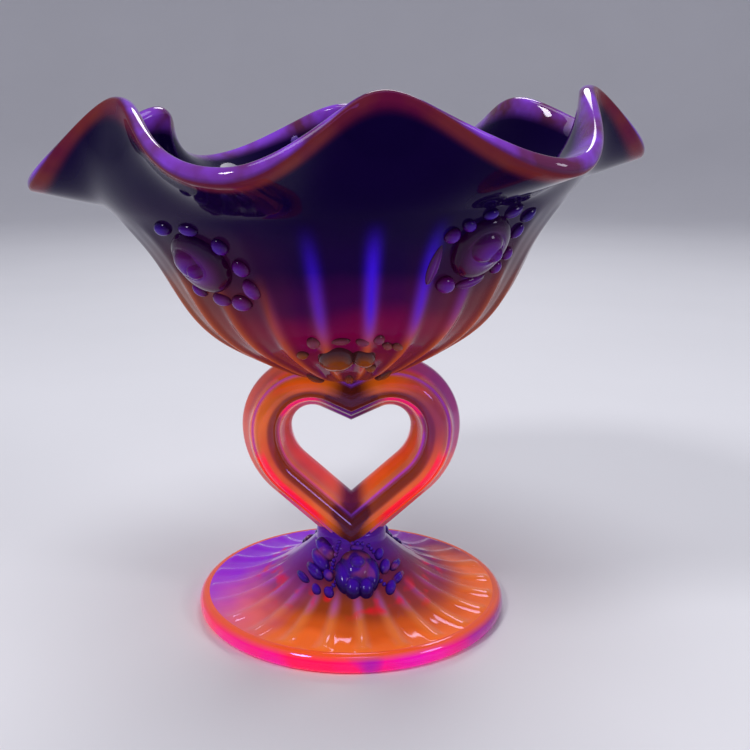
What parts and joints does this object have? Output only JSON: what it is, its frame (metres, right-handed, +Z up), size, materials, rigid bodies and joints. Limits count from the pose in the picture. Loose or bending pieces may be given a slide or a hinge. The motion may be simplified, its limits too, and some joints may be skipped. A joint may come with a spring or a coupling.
{
  "type": "footed glass compote dish",
  "caption": "Footed pressed-glass dish with a fluted round bowl, rose relief and a wavy crimped lip, on an open heart-shaped stem and a ribbed round foot.",
  "frame": {"origin": "centre of the foot's resting plane", "axes": "+Z up; the heart lies in the XZ plane, -Y is the front, +X is to the right seen from the front"},
  "size_m": [0.1719, 0.159, 0.1531],
  "materials": {
    "glass_amber": "glossy",
    "glass_ruby": "glossy",
    "glass_plum": "glossy",
    "glass_rim_pink": "glossy"
  },
  "bodies": {
    "root": {"bowl_ribs": "glass_ruby", "bowl_wall": "glass_plum", "calyx_leaves": "glass_ruby", "crimped_rim": "glass_plum", "foot_dome": "glass_amber", "foot_ribs": "glass_amber", "foot_rim": "glass_rim_pink", "foot_rose_back": "glass_amber", "foot_rose_back_leaves": "glass_amber", "foot_rose_front": "glass_amber", "foot_rose_front_leaves": "glass_amber", "heart_back_moulding": "glass_amber", "heart_front_moulding": "glass_amber", "heart_ring": "glass_amber", "rose_back_left": "glass_plum", "rose_back_left_leaves": "glass_plum", "rose_back_right": "glass_plum", "rose_back_right_leaves": "glass_plum", "rose_front_left": "glass_plum", "rose_front_left_leaves": "glass_plum", "rose_front_right": "glass_plum", "rose_front_right_leaves": "glass_plum", "stem_neck": "glass_amber", "under_rose_back": "glass_ruby", "under_rose_back_leaves": "glass_ruby", "under_rose_front": "glass_ruby", "under_rose_front_leaves": "glass_ruby"}
  },
  "joints": []
}
